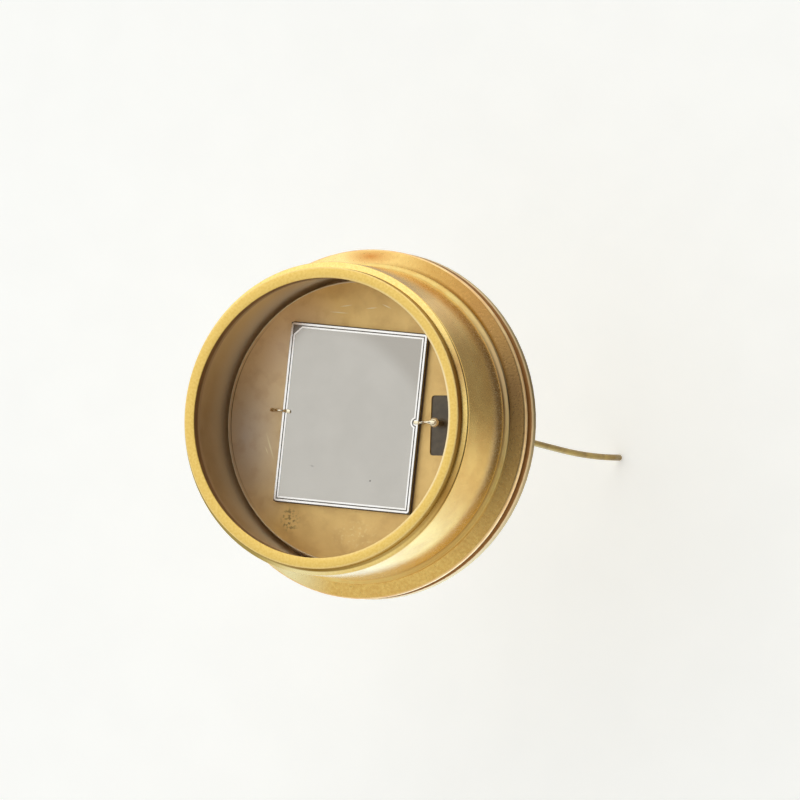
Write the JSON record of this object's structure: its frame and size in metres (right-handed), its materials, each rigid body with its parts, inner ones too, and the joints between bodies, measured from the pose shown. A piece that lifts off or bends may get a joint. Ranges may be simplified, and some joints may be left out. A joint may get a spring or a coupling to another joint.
{
  "type": "pin photodiode",
  "caption": "Gold-plated metal-can photodiode with an open front: a rectangular silicon die on a raised header platform, a stepped can with welded flange, and round leads for soldering.",
  "frame": {"origin": "centre of the header's flat underside, where the case seats on a board", "axes": "+Z along the optical axis, out of the open front; +X towards the insulated signal lead; the leads point to -Z"},
  "size_m": [0.014, 0.014, 0.0206],
  "materials": {
    "header_gold": "satin gold plating on a stamped steel header, brown-tinted",
    "can_gold": "satin gold plating on a drawn can",
    "weld_tint": "heat-tinted, reddish-brown weld",
    "die_bond": "dark conductive die bond",
    "silicon": "polished grey silicon under a thin passivation",
    "track_metal": "bright evaporated aluminium film",
    "lead_gold": "gold-plated lead wire",
    "seal_glass": "dark sealing glass, smooth",
    "braze": "plated braze",
    "bond_gold": "bright bond wire"
  },
  "bodies": {
    "root": {"header": "header_gold", "can": "can_gold", "weld_ring": "weld_tint", "die_attach": "die_bond", "die": "silicon", "outer_track": "track_metal", "inner_track": "track_metal", "signal_lead": "lead_gold", "glass_seal": "seal_glass", "case_lead": "lead_gold", "case_lead_braze": "braze", "signal_wire": "bond_gold", "case_wire": "bond_gold"}
  },
  "joints": []
}
